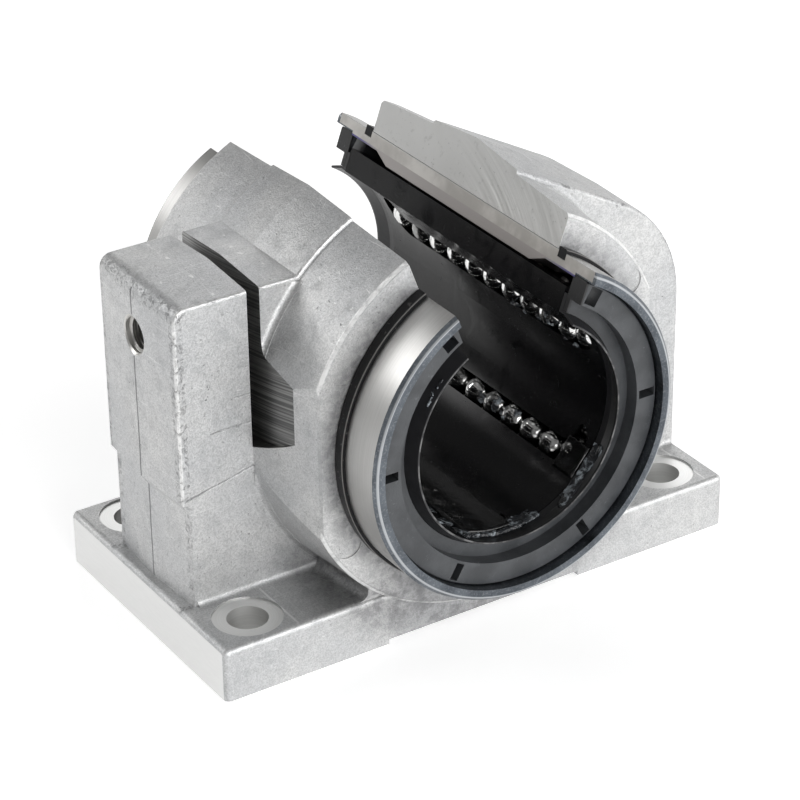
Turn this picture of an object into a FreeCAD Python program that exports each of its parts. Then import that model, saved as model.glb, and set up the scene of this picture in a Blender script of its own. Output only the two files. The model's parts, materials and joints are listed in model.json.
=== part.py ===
import FreeCAD, Part
import math
import os

from FreeCAD import Vector

# Open, adjustable linear ball bearing and housing unit for a 50 mm shaft.
# Millimetres. The shaft axis runs along Y, Z is up, and the origin is the middle of the
# mounting face, straight below the bearing's centre.

# ---- driving dimensions: the unit ----
shaft_r = 25.0
axis_height = 50.0
opening_half_angle = 20.0       # each wall of the opening leans this far from the vertical
opening_half_width = 5.1        # half width of the opening where its walls meet axis height

# ---- base ----
base_length = 130.0
base_depth = 68.6
base_height = 12.6
base_corner_r = 1.5
base_edge_r = 1.2               # along the base's front and rear top edges
bolt_end_distance = 11.0        # from the base's ends to the bolt holes' centres
bolt_spacing_y = 50.0
bolt_hole_r = 4.5
spot_face_r = 7.7
spot_face_depth = 0.4
relief_length = 49.5
relief_depth = 1.1
boss_root_fillet_r = 2.0
band_root_fillet_r = 1.4

# ---- band: the column, the jaws and the right flank ----
band_depth = 32.0
column_end_distance = 1.8       # from the base's end in to the column's outer face
column_top = 83.2
column_corner_r = 3.0
column_draft = 1.0              # the column is this much larger at the parting plane
crown_r = 47.5
crown_draft = 1.5
flank_end_distance = 0.4        # the flank's draft brings it flush with the base's end
flank_corner_r = 30.0
flank_corner_z = 51.0
band_edge_r = 0.8
foot_step = 1.6                 # the column's outer face steps in this far above the base
foot_step_z = 38.0
foot_step_height = 2.4          # height of the slope between the two faces

# ---- boss round the bearing ----
housing_length = 72.0
boss_root_r = 46.6
boss_face_r = 45.2
boss_edge_r = 0.8
side_flat_x = 41.3              # the flats' distance from the axis at the boss's end faces
side_flat_angle = 13.3
pin_mark_r = 3.3
pin_mark_depth = 0.2
pin_mark_angle = 30.0

# ---- adjusting slot and screw ----
slot_wall_x = 43.1              # the jaw's side of the saw slot
slot_width = 3.0
slot_floor_z = 44.5
saw_r = 57.0
screw_z = 71.5
screw_r = 4.0
screw_length = 12.0
screw_point_r = 2.75
screw_point_length = 2.7
screw_socket_across_flats = 4.0
screw_socket_depth = 4.5
screw_thread_clearance = 0.05
screw_point_gap = 0.3
screw_hole_chamfer = 0.5

# ---- bearing sleeve ----
sleeve_r = 37.5
sleeve_length = 100.0
sleeve_end_chamfer = 0.9
sleeve_end_wall = 2.6
end_seat_y = 43.4
relief_wall = 3.3
relief_end_y = 32.8
load_zone_y = 28.0
raceway_clearance = 0.06
housing_clearance = 0.1
groove_y = 36.2
groove_width = 2.7
groove_depth = 1.5

# ---- ball circuits ----
ball_r = 3.572
shaft_ball_clearance = 0.03
circuit_angles = (-210.0, -150.0, -90.0, -30.0, 30.0)
lane_half_angle = 10.0
return_ball_centre_r = 30.5
ball_spacing = 0.056
lane_half_length = 32.15
lane_end_space = 3.3            # at least this far from a lane's last ball to the turn
turn_ball_angles = (45.0, 135.0)
track_clearance = 0.18
return_groove_clearance = 0.33

# ---- cage ----
cage_inner_r = 26.0
cage_outer_clearance = 0.65
cage_length = 83.6

# ---- end rings and wiper seals ----
end_ring_face_y = 47.7
end_ring_clearance = 0.15
end_ring_edge = 0.3
end_ring_inner_r = 29.7
shelf_inner_r = 26.7
shelf_face_y = 44.2
shelf_back_y = 43.0
window_inner_r = 30.3
window_height = 3.9
window_width = 2.0
window_angles = (0.0, -60.0, -120.0, 180.0)
end_window_width = 3.2
end_window_angles = (56.5, 123.5)
seal_flange_r = 30.3
seal_clearance = 0.1
seal_wall = 0.5
seal_tip_y = 47.4
seal_land = 0.5
seal_edge = 0.4

# ---- retaining rings ----
retaining_ring_r = 38.3
retaining_ring_clearance = 0.05

# ---- places worked out from the dimensions ----
axis = Vector(0, 0, axis_height)
along = Vector(0, 1, 0)
bolt_spacing_x = base_length - 2 * bolt_end_distance
column_face_x = base_length / 2 - column_end_distance
flank_face_x = base_length / 2 - flank_end_distance
loaded_ball_centre_r = shaft_r + shaft_ball_clearance + ball_r
ball_pitch = 2 * ball_r + ball_spacing
raceway_r = loaded_ball_centre_r + ball_r + raceway_clearance
rim_bore_r = sleeve_r - sleeve_end_wall
relief_r = sleeve_r - relief_wall
cage_outer_r = raceway_r - cage_outer_clearance
housing_bore_r = sleeve_r + housing_clearance
groove_floor_r = sleeve_r - groove_depth
reach = 2.0 * base_length


def from_axis(radius, angle, y):
    """A point at this radius and angle round the bearing axis; 90 degrees is straight up."""
    turn = math.radians(angle)
    return Vector(radius * math.cos(turn), y, axis_height + radius * math.sin(turn))


def turned(points):
    """Revolve a closed outline of (radius, y) points round the bearing axis."""
    corners = [Vector(radius, y, axis_height) for radius, y in points]
    outline = Part.makePolygon(corners + corners[:1])
    return Part.Face(outline).revolve(axis, along, 360)


def mirrored_points(points):
    """Complete the half outline of a turned part that is the same at both ends."""
    return points + [(radius, -y) for radius, y in reversed(points)]


def at_end(shape, end):
    """The same piece at the front (end = -1) or the rear (end = 1)."""
    if end > 0:
        return shape
    return shape.mirror(Vector(0, 0, 0), along)


def opening():
    """The V that is cut through the housing and the bearing for the shaft's supports."""
    top_half_width = opening_half_width + reach * math.tan(math.radians(opening_half_angle))
    corners = [
        Vector(-opening_half_width, -reach, axis_height),
        Vector(opening_half_width, -reach, axis_height),
        Vector(top_half_width, -reach, axis_height + reach),
        Vector(-top_half_width, -reach, axis_height + reach),
    ]
    outline = Part.makePolygon(corners + corners[:1])
    return Part.Face(outline).extrude(along * (2 * reach))


# ---- housing ----
def base():
    block = Part.makeBox(base_length, base_depth, base_height,
                         Vector(-base_length / 2, -base_depth / 2, 0))
    long_edges = [edge for edge in block.Edges
                  if edge.BoundBox.XLength > base_length / 2 and edge.BoundBox.ZMax > base_height / 2]
    block = block.makeFillet(base_edge_r, long_edges)
    corners = [edge for edge in block.Edges
               if abs(edge.Vertexes[0].Z - edge.Vertexes[1].Z) > base_height / 2]
    return block.makeFillet(base_corner_r, corners)


def band_outline(y, share):
    """Column, crown and flank seen along the shaft, larger by this share of their draft."""
    left = -(column_face_x + share * column_draft)
    right = flank_face_x + share * flank_end_distance
    top = column_top + share * column_draft
    crown = crown_r + share * crown_draft
    corner_r = flank_corner_r + share * flank_end_distance
    corner_centre = Vector(flank_face_x - flank_corner_r, y, flank_corner_z)
    crown_centre = Vector(0, y, axis_height)
    # The flank's slope touches both the crown circle and the corner circle.
    between = corner_centre - crown_centre
    slope_angle = (math.atan2(between.z, between.x)
                   + math.acos((crown - corner_r) / between.Length))
    normal = Vector(math.cos(slope_angle), 0, math.sin(slope_angle))
    crown_start = Vector(-math.sqrt(crown ** 2 - (top - axis_height) ** 2), y, top)
    crown_top = crown_centre + Vector(0, 0, crown)
    crown_end = crown_centre + normal * crown
    corner_start = corner_centre + normal * corner_r
    half_turn = slope_angle / 2
    corner_middle = corner_centre + Vector(math.cos(half_turn), 0, math.sin(half_turn)) * corner_r
    corner_end = Vector(right, y, flank_corner_z)
    column_centre = Vector(left + column_corner_r, y, top - column_corner_r)
    column_start = column_centre - Vector(column_corner_r, 0, 0)
    column_middle = column_centre + Vector(-1, 0, 1) * (column_corner_r * math.sqrt(0.5))
    column_end = column_centre + Vector(0, 0, column_corner_r)
    edges = [
        Part.makeLine(Vector(left, y, 0), column_start),
        Part.Arc(column_start, column_middle, column_end).toShape(),
        Part.makeLine(column_end, crown_start),
        Part.Arc(crown_start, crown_top, crown_end).toShape(),
        Part.makeLine(crown_end, corner_start),
        Part.Arc(corner_start, corner_middle, corner_end).toShape(),
        Part.makeLine(corner_end, Vector(right, y, 0)),
        Part.makeLine(Vector(right, y, 0), Vector(left, y, 0)),
    ]
    return Part.Wire(edges)


def band():
    middle = band_outline(0, 1)
    half = Part.makeLoft([middle, band_outline(band_depth / 2, 0)], True, True)
    rims = [edge for edge in half.Edges
            if min(vertex.Y for vertex in edge.Vertexes) > band_depth / 2 - 0.01
            and max(vertex.Z for vertex in edge.Vertexes) > base_height]
    half = half.makeFillet(band_edge_r, rims)
    return half.fuse(half.mirror(Vector(0, 0, 0), along)).removeSplitter()


def foot_recess():
    """What the step takes off the column's outer face, from the base up to foot_step_z."""
    slope = foot_step_height / foot_step

    def outline(y, face_x):
        corners = [
            Vector(-reach, y, base_height),
            Vector(foot_step - face_x, y, base_height),
            Vector(foot_step - face_x, y, foot_step_z - foot_step_height),
            Vector(-reach, y, foot_step_z + slope * (reach - face_x)),
        ]
        return Part.makePolygon(corners + corners[:1])
    half = Part.makeLoft([outline(0, column_face_x + column_draft),
                          outline(band_depth, column_face_x - column_draft)], True, True)
    return half.fuse(half.mirror(Vector(0, 0, 0), along))


def cove(corner, first, second, radius):
    """Outline of a concave root, sunk a little way into both walls that meet at the corner."""
    sink = radius / 2
    start = corner + first * radius
    finish = corner + second * radius
    middle = corner + (first + second) * (radius * (1 - math.sqrt(0.5)))
    below_start = start - second * sink
    below_finish = finish - first * sink
    inner = corner - (first + second) * sink
    return Part.Wire([Part.Arc(start, middle, finish).toShape(), Part.makeLine(finish, below_finish),
                      Part.makeLine(below_finish, inner), Part.makeLine(inner, below_start),
                      Part.makeLine(below_start, start)])


def band_roots():
    """Cast roots between the band's faces and the base, and between the band and the boss."""
    half_band = band_depth / 2
    up = Vector(0, 0, 1)
    left = band_edge_r - column_face_x + foot_step
    right = flank_face_x - band_edge_r
    at_base = Part.Face(cove(Vector(left, half_band, base_height), along, up, band_root_fillet_r))
    at_base = at_base.extrude(Vector(right - left, 0, 0))
    at_boss = Part.Face(cove(Vector(boss_root_r, half_band, axis_height), Vector(1, 0, 0), along,
                             band_root_fillet_r)).revolve(axis, along, 360)
    inside_band = Part.Face(band_outline(0, -1)).extrude(along * housing_length)
    at_boss = at_boss.common(inside_band).cut(side_flats())
    return [at_base, at_end(at_base, -1), at_boss, at_end(at_boss, -1)]


def side_flats():
    """What the flats take off the boss's sides, in front of the band and behind it."""
    half_length = housing_length / 2
    half_band = band_depth / 2
    slope = math.tan(math.radians(side_flat_angle))
    inner_x = side_flat_x + (half_length - half_band) * slope
    corners = [
        Vector(side_flat_x, half_length + 1, -reach),
        Vector(side_flat_x, half_length, -reach),
        Vector(inner_x, half_band, -reach),
        Vector(reach, half_band, -reach),
        Vector(reach, half_length + 1, -reach),
    ]
    right = Part.Face(Part.makePolygon(corners + corners[:1])).extrude(Vector(0, 0, 2 * reach))
    left = right.mirror(Vector(0, 0, 0), Vector(1, 0, 0))
    return [right, at_end(right, -1), left, at_end(left, -1)]


def boss():
    half_length = housing_length / 2
    body = turned(mirrored_points([
        (0, half_length),
        (boss_face_r - boss_edge_r, half_length),
        (boss_face_r, half_length - boss_edge_r),
        (boss_root_r, band_depth / 2),
    ]))
    return body.cut(side_flats())


def boss_r(y):
    """The boss's radius between the band's face and its own end face."""
    band_face_y = band_depth / 2
    end_y = housing_length / 2 - boss_edge_r
    return boss_root_r + (boss_face_r - boss_root_r) * (y - band_face_y) / (end_y - band_face_y)


def boss_root_outline(y):
    """Outline of the concave root between the base's top and the boss, sunk a little into both."""
    centre_x = math.sqrt((boss_r(y) + boss_root_fillet_r) ** 2
                         - (axis_height - base_height - boss_root_fillet_r) ** 2)
    corner_x = math.sqrt(boss_r(y) ** 2 - (axis_height - base_height) ** 2)
    down = Vector(0, 0, -1)
    sink = boss_root_fillet_r / 2
    centre = Vector(centre_x, y, base_height + boss_root_fillet_r)
    inward = (Vector(0, y, axis_height) - centre).normalize()
    on_base = centre + down * boss_root_fillet_r
    on_boss = centre + inward * boss_root_fillet_r
    middle = centre + (inward + down).normalize() * boss_root_fillet_r
    below = on_base + down * sink
    inner = Vector(corner_x - sink, y, base_height - sink)
    behind = on_boss + inward * sink
    return Part.Wire([Part.Arc(on_base, middle, on_boss).toShape(), Part.makeLine(on_boss, behind),
                      Part.makeLine(behind, inner), Part.makeLine(inner, below),
                      Part.makeLine(below, on_base)])


def boss_roots():
    start = band_depth / 2 - band_root_fillet_r
    finish = (base_depth - base_edge_r) / 2
    root = Part.makeLoft([boss_root_outline(start), boss_root_outline(finish)], True, True)
    other = root.mirror(Vector(0, 0, 0), Vector(1, 0, 0))
    return [root, at_end(root, -1), other, at_end(other, -1)]


def bolt_places():
    for x in (-bolt_spacing_x / 2, bolt_spacing_x / 2):
        for y in (-bolt_spacing_y / 2, bolt_spacing_y / 2):
            yield x, y


def bolt_holes():
    cutters = []
    for x, y in bolt_places():
        cutters.append(Part.makeCylinder(bolt_hole_r, base_height * 2, Vector(x, y, -base_height / 2)))
        cutters.append(Part.makeCylinder(spot_face_r, base_height,
                                         Vector(x, y, base_height - spot_face_depth)))
    return cutters


def pin_marks():
    """Shallow round marks that the die's ejector pins leave on both end faces."""
    radius = (housing_bore_r + boss_face_r - boss_edge_r) / 2
    cutters = []
    for angle in (pin_mark_angle, -pin_mark_angle, 180 - pin_mark_angle, 180 + pin_mark_angle):
        mark = Part.makeCylinder(pin_mark_r, 2 * pin_mark_depth,
                                 from_axis(radius, angle, housing_length / 2 - pin_mark_depth), along)
        cutters += [mark, at_end(mark, -1)]
    return cutters


def saw_slot():
    """The blade's path: a flat slot whose floor is an arc of the blade's rim."""
    blade = Part.makeCylinder(saw_r, slot_width, Vector(-slot_wall_x - slot_width, 0, slot_floor_z + saw_r),
                              Vector(1, 0, 0))
    above = Part.makeBox(slot_width, 2 * saw_r, reach,
                         Vector(-slot_wall_x - slot_width, -saw_r, slot_floor_z + saw_r))
    return blade.fuse(above)


def screw_hole():
    start = -(column_face_x + column_draft)
    outward = Vector(1, 0, 0)
    hole_r = screw_r + screw_thread_clearance
    hole = Part.makeCylinder(hole_r, -slot_wall_x - start, Vector(start, 0, screw_z), outward)
    mouth = Part.makeCone(hole_r + 2 * screw_hole_chamfer, hole_r, 2 * screw_hole_chamfer,
                          Vector(start - screw_hole_chamfer, 0, screw_z), outward)
    return hole.fuse(mouth)


def housing():
    body = base().fuse([boss(), band().cut(foot_recess())] + band_roots() + boss_roots())
    body = body.cut(Part.makeCylinder(housing_bore_r, reach, axis - along * (reach / 2), along))
    below = Part.makeBox(2 * base_length, 2 * base_length, reach, Vector(-base_length, -base_length, -reach))
    relief = Part.makeBox(relief_length, 2 * base_depth, 2 * relief_depth,
                          Vector(-relief_length / 2, -base_depth, -relief_depth))
    cutters = [below, relief, opening(), saw_slot(), screw_hole()]
    return body.cut(cutters + bolt_holes() + pin_marks())


# ---- bearing ----
def sleeve():
    half_length = sleeve_length / 2
    body = turned(mirrored_points([
        (raceway_r, 0),
        (raceway_r, load_zone_y),
        (relief_r, relief_end_y),
        (relief_r, end_seat_y),
        (rim_bore_r, end_seat_y),
        (rim_bore_r, half_length),
        (sleeve_r - sleeve_end_chamfer, half_length),
        (sleeve_r, half_length - sleeve_end_chamfer),
        (sleeve_r, groove_y + groove_width),
        (groove_floor_r, groove_y + groove_width),
        (groove_floor_r, groove_y),
        (sleeve_r, groove_y),
        (sleeve_r, 0),
    ]))
    grooves = []
    for centre in circuit_angles:
        start = from_axis(return_ball_centre_r, centre + lane_half_angle, -relief_end_y)
        grooves.append(Part.makeCylinder(ball_r + return_groove_clearance, 2 * relief_end_y, start, along))
    return body.cut(grooves + [opening()])


def turn_frame(centre, end):
    """Middle, sideways direction, radius and outward normal of a circuit's half turn."""
    loaded = from_axis(loaded_ball_centre_r, centre - lane_half_angle, end * lane_half_length)
    returning = from_axis(return_ball_centre_r, centre + lane_half_angle, end * lane_half_length)
    across = returning - loaded
    middle = (loaded + returning) * 0.5
    radius = across.Length / 2
    across.normalize()
    outward = across.cross(along)
    if outward.dot(middle - from_axis(0, 0, middle.y)) < 0:
        outward = outward * -1
    return middle, across, radius, outward


def circuit_track(centre):
    """Space that one circuit's balls run in, open towards the sleeve."""
    track_r = ball_r + track_clearance
    pieces = []
    for radius, side in ((loaded_ball_centre_r, -1), (return_ball_centre_r, 1)):
        angle = centre + side * lane_half_angle
        start = from_axis(radius, angle, -lane_half_length)
        lane = Part.makeCylinder(track_r, 2 * lane_half_length, start, along)
        outside = Part.makeBox(2 * track_r, 2 * lane_half_length, ball_r * 2,
                               Vector(-track_r, -lane_half_length, radius))
        outside.rotate(Vector(0, 0, 0), along, 90 - angle)
        outside.translate(axis)
        pieces += [lane, outside]
    for end in (-1, 1):
        middle, across, radius, outward = turn_frame(centre, end)
        ring = Part.makeTorus(radius, track_r, middle, outward)
        wide = Part.makeCylinder(radius + track_r, ball_r * 2, middle, outward)
        core = Part.makeCylinder(radius - track_r, ball_r * 2, middle, outward)
        beyond = Part.makeBox(reach, reach, reach,
                              Vector(-reach / 2, 0, -reach / 2))
        beyond.translate(Vector(0, lane_half_length, 0))
        beyond = at_end(beyond, end)
        pieces.append(ring.fuse(wide.cut(core)).common(beyond))
    return pieces


def cage():
    body = turned([
        (cage_inner_r, -cage_length / 2),
        (cage_outer_r, -cage_length / 2),
        (cage_outer_r, cage_length / 2),
        (cage_inner_r, cage_length / 2),
    ])
    for centre in circuit_angles:
        for piece in circuit_track(centre):
            body = body.cut(piece)
    return body.cut(opening())


def ball(place):
    return Part.makeSphere(ball_r, place)


def lane_steps():
    """Places along a lane, as many on each side of the middle one as fit between the turns."""
    beside = int((lane_half_length - lane_end_space) / ball_pitch)
    return [index * ball_pitch for index in range(-beside, beside + 1)]


def loaded_balls(centre):
    angle = centre - lane_half_angle
    return [ball(from_axis(loaded_ball_centre_r, angle, y)) for y in lane_steps()]


def return_balls(centre):
    angle = centre + lane_half_angle
    balls = [ball(from_axis(return_ball_centre_r, angle, y)) for y in lane_steps()]
    for end in (-1, 1):
        middle, across, radius, outward = turn_frame(centre, end)
        for step in turn_ball_angles:
            turn = math.radians(step)
            balls.append(ball(middle + across * (radius * math.cos(turn))
                              + along * (end * radius * math.sin(turn))))
    return balls


def end_ring(end):
    outer_r = rim_bore_r - end_ring_clearance
    body = turned([
        (shelf_inner_r, shelf_back_y),
        (relief_r - end_ring_clearance, shelf_back_y),
        (relief_r - end_ring_clearance, end_seat_y + end_ring_clearance),
        (outer_r, end_seat_y + end_ring_clearance),
        (outer_r, end_ring_face_y - end_ring_edge),
        (outer_r - end_ring_edge, end_ring_face_y),
        (end_ring_inner_r, end_ring_face_y),
        (end_ring_inner_r, shelf_face_y),
        (shelf_inner_r, shelf_face_y),
    ])
    cutters = [opening()]
    windows = [(angle, window_width) for angle in window_angles]
    windows += [(angle, end_window_width) for angle in end_window_angles]
    for angle, width in windows:
        window = Part.makeBox(window_height, end_ring_face_y, width,
                              Vector(window_inner_r, end_seat_y - end_ring_face_y / 2, -width / 2))
        window.rotate(Vector(0, 0, 0), along, -angle)
        window.translate(axis)
        cutters.append(window)
    return at_end(body.cut(cutters), end)


def wiper_seal(end):
    flange_back_y = cage_length / 2 + seal_clearance
    flange_face_y = shelf_back_y - seal_clearance
    neck_r = shelf_inner_r - seal_clearance
    body = turned([
        (neck_r - seal_wall, flange_back_y),
        (seal_flange_r, flange_back_y),
        (seal_flange_r, flange_face_y),
        (neck_r, flange_face_y),
        (neck_r, shelf_face_y),
        (shaft_r + seal_edge, seal_tip_y),
        (shaft_r, seal_tip_y),
        (shaft_r, seal_tip_y - seal_land),
        (neck_r - seal_wall, shelf_face_y - seal_wall),
    ])
    return at_end(body.cut(opening()), end)


def retaining_ring(end):
    start = groove_y + retaining_ring_clearance
    finish = groove_y + groove_width - retaining_ring_clearance
    inner_r = groove_floor_r + retaining_ring_clearance
    body = turned([
        (inner_r, start),
        (retaining_ring_r, start),
        (retaining_ring_r, finish),
        (inner_r, finish),
    ])
    return at_end(body.cut(opening()), end)


def hexagon_prism(across_flats, start, length):
    corner_r = across_flats / math.sqrt(3)
    corners = []
    for index in range(6):
        turn = math.radians(60 * index)
        corners.append(start + Vector(0, corner_r * math.cos(turn), corner_r * math.sin(turn)))
    return Part.Face(Part.makePolygon(corners + corners[:1])).extrude(Vector(length, 0, 0))


def adjusting_screw():
    """Set screw in the column; its point crosses the slot and bears on the jaw."""
    tip = Vector(-slot_wall_x - screw_point_gap, 0, screw_z)
    outward = Vector(-1, 0, 0)
    shoulder = tip + outward * screw_point_length
    point = Part.makeCylinder(screw_point_r, screw_point_length, tip, outward)
    shank = Part.makeCylinder(screw_r, screw_length - screw_point_length, shoulder, outward)
    socket = hexagon_prism(screw_socket_across_flats, tip + outward * screw_length, screw_socket_depth)
    return point.fuse(shank).cut(socket).removeSplitter()


def build():
    pieces = {
        "housing": housing(),
        "bearing_sleeve": sleeve(),
        "ball_cage": cage(),
        "adjusting_screw": adjusting_screw(),
    }
    for number, centre in enumerate(circuit_angles, 1):
        pieces["loaded_balls_%d" % number] = Part.makeCompound(loaded_balls(centre))
        pieces["return_balls_%d" % number] = Part.makeCompound(return_balls(centre))
    for name, end in (("front", -1), ("rear", 1)):
        pieces["end_ring_" + name] = end_ring(end)
        pieces["wiper_seal_" + name] = wiper_seal(end)
        pieces["retaining_ring_" + name] = retaining_ring(end)
    return pieces


os.makedirs("parts", exist_ok=True)
for node, shape in build().items():
    shape.exportStep("parts/%s.step" % node)
    print(node, shape.isValid(), len(shape.Solids), round(shape.Volume, 1))
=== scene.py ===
import json
import math
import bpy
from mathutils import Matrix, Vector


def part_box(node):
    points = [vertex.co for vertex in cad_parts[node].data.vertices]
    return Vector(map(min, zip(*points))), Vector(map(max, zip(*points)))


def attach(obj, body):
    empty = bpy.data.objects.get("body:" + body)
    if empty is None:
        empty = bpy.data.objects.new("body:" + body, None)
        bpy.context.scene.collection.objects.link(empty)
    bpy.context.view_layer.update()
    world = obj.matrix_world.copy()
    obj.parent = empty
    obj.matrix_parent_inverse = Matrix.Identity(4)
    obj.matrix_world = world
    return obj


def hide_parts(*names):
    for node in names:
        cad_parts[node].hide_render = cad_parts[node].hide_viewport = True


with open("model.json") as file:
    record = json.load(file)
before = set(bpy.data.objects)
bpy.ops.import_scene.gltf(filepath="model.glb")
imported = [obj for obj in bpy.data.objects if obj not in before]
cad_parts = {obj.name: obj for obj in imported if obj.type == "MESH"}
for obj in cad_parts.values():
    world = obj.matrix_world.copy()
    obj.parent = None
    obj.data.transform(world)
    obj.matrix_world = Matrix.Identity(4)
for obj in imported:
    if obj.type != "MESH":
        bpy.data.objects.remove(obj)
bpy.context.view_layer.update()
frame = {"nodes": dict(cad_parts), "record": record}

from types import SimpleNamespace

import bmesh
import bpy
from mathutils import Euler, Vector, noise

# Looks for an open, adjustable linear ball bearing in its cast housing. Lengths are
# millimetres, and mm() turns them into metres, but from "floor, light and camera" on
# they are metres, as Blender's are.

nodes = frame["nodes"]
mounts = {mount["name"]: mount for mount in frame["record"]["mounts"]}

FIXED = "bearing_block"
SCREW_BODY = "adjusting_screw"

# The bearing's axis, the bolt holes and the opening's two walls.
AXIS_Z = mounts["shaft_bore"]["pos_m"][2] * 1000
HOLE_X = mounts["base_bolts"]["dims"]["spacing_x_mm"] / 2
HOLE_Y = mounts["base_bolts"]["dims"]["spacing_y_mm"] / 2
OPENING_SLOPE = math.tan(math.radians(20))
OPENING_HALF = 5.1

# The saw slot and the hole of the adjusting screw.
SLOT_X = (-46.1, -43.1)
SLOT_FLOOR_Z = 44.5
SAW_R = 57.0
SCREW_Z = 71.5
SCREW_HOLE_R = 4.05
THREAD_PITCH = 1.25
THREAD_START_X = -63.55
THREAD_SHARP = math.radians(35)

# Limits by which the housing's finish finds its cut places.
CUT_TOLERANCE = 0.06
BASE_END_X = -64.95
SEAT_R, SEAT_Z = 7.72, 12.3
SLOT_HALF = 1.52
SLOT_WALL_TOLERANCE = 0.03
SCREW_WAY_R, SCREW_WAY_X = 4.7, -40.0
HOUSING_BORE_R = 37.7
SOLE_Z = 0.02

# Limits of the lines and edges on its cast skin.
BAND_Y = 15.0
BAND_EDGE_Y = (14.9, 16.1)
BAND_BACK_R = 46.9
BOSS_FACE_R, BOSS_FACE_Y = 45.0, 34.9
BOSS_EDGE = (44.95, 35.5)  # from the axis, and along it
BASE_EDGE = (33.9, 12.2)  # from the middle, and up
COLUMN_TOP_EDGE = (-63.0, 82.4)  # x and z
COLUMN_Z = (12.8, 82.5)
COLUMN_SIDE_X = -59.5
COLUMN_EDGE_X = -61.2
SCREW_CHAMFER_R = 4.8
FRONT_Y = -15.2
JOINT_X = (-62.5, -45.9)
JOINT_RISE = -0.22
MILL_CENTRE = (24.0, 20.0)  # y and z

# The bearing's own limits, from its axis and from its middle.
SLEEVE_OUTSIDE_R = 37.3
SLEEVE_EDGE_R = 36.65
SLEEVE_STEP_R, SLEEVE_STEP_Y = 34.6, 43.3
SLEEVE_RIM_R, SLEEVE_RIM_Y = 35.2, 49.05
SEAL_LIP_R, SEAL_LIP_Y = (25.4, 25.2), (47.15, 47.3)
RING_EDGE_R, RING_Y = (38.1, 38.25), 38.75
CAGE_BORE_R = 25.98
CAGE_FLARE, CAGE_FLARE_Y = 0.09, -41.6
BALL_R = 3.572

# Grease films: their back, the grid that each is made on, and the least island of quads.
SMEAR_BACK_R = 26.02
SMEAR_NOISE_R = 26
SMEAR_GRID = 64
SMEAR_EDGE = 5
SMEAR_RISE = 2.5
SMEAR_ISLAND = 14

WELD_DISTANCE = 1e-7  # metres

# Colours of the housing: cast skin, marks on it, painted shade and highlight, and cut metal.
SKIN_LOW, SKIN_HIGH = (0.55, 0.555, 0.56), (0.64, 0.64, 0.635)
SKIN_MOTTLE = (0.34, 0.345, 0.355)
SKIN_STAIN = (0.30, 0.305, 0.315)
SKIN_GRAIN = (0.28, 0.285, 0.29)
SKIN_RUBBED = (0.86, 0.86, 0.85)
# Near white for edges: a painted highlight on their rounding, partly rubbed wear.
SKIN_WEAR_AND_SHEEN = (0.92, 0.92, 0.91)
# Dark for pits, and the painted shade in the corner under the boss.
PIT_AND_SHADE_DARK = (0.13, 0.13, 0.135)
# Painted shade on the boss's face by the bearing, and the colour of the flash crumbs.
SHADE_AND_FLASH_DARK = (0.17, 0.17, 0.175)
# The parting line's dark colour, a painted shadow along it.
PARTING_SHADOW = (0.10, 0.10, 0.105)
JOINT_DARK = (0.22, 0.22, 0.225)
CUT_LOW, CUT_HIGH = (0.50, 0.50, 0.49), (0.60, 0.60, 0.59)
CUT_DULL = (0.34, 0.34, 0.335)
CUT_PIT = (0.10, 0.10, 0.10)
END_LOW, END_HIGH = (0.70, 0.70, 0.695), (0.76, 0.76, 0.75)
SEAT_LOW, SEAT_HIGH = (0.56, 0.56, 0.55), (0.82, 0.82, 0.81)
# The saw slot's colours are darkened as painted shade inside the slot, over its saw marks.
SAWN_SHADED_LOW, SAWN_SHADED_HIGH = (0.13, 0.13, 0.13), (0.33, 0.33, 0.32)
SCREW_WAY = (0.62, 0.61, 0.58)

# Colours of the sleeve: outside, blued rims, temper tint and cut section.
OUTSIDE_LOW, OUTSIDE_HIGH = (0.44, 0.436, 0.426), (0.50, 0.496, 0.485)
OUTSIDE_STAIN = (0.42, 0.41, 0.395)
BLUED_LOW, BLUED_HIGH = (0.085, 0.095, 0.108), (0.135, 0.15, 0.168)
# Bright for nicks in the blueing, and the painted highlight on the rims' rounded edge.
BLUED_NICKS_AND_SHEEN = (0.62, 0.64, 0.66)
TINT_MIDDLE, TINT_END = (0.36, 0.34, 0.33), (0.13, 0.12, 0.26)
SECTION_LOW, SECTION_HIGH = (0.40, 0.385, 0.365), (0.56, 0.545, 0.52)

# Colours of the plastics, the rubber and the other steels, dark and light.
CAGE_DARK, CAGE_OILED = (0.0035, 0.0035, 0.004), (0.006, 0.0065, 0.007)
GREY_LOW, GREY_HIGH = (0.032, 0.0345, 0.038), (0.052, 0.0555, 0.060)
GREY_GREASED, GREY_SCUFFED = (0.008, 0.008, 0.009), (0.17, 0.18, 0.19)
RUBBER_LOW, RUBBER_HIGH = (0.008, 0.008, 0.009), (0.022, 0.022, 0.024)
RUBBER_LIP = (0.24, 0.24, 0.24)
# Bright for bare spots, and the painted highlight on the rings' outer edges.
RING_DARK, RING_BARE_AND_SHEEN = (0.012, 0.012, 0.013), (0.30, 0.29, 0.28)
BALL_BRIGHT, BALL_GREASED = (0.80, 0.80, 0.79), (0.26, 0.26, 0.255)
SCREW_DARK, SCREW_WORN = (0.025, 0.025, 0.026), (0.12, 0.12, 0.115)
TAPPED_LOW, TAPPED_HIGH = (0.30, 0.295, 0.28), (0.62, 0.61, 0.59)
DARK_GREASE = ((0.004, 0.004, 0.004), (0.010, 0.011, 0.012))
PALE_GREASE = ((0.02, 0.022, 0.025), (0.44, 0.49, 0.53))


def mm(x, y, z):
    return Vector((x, y, z)) * 0.001


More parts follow.
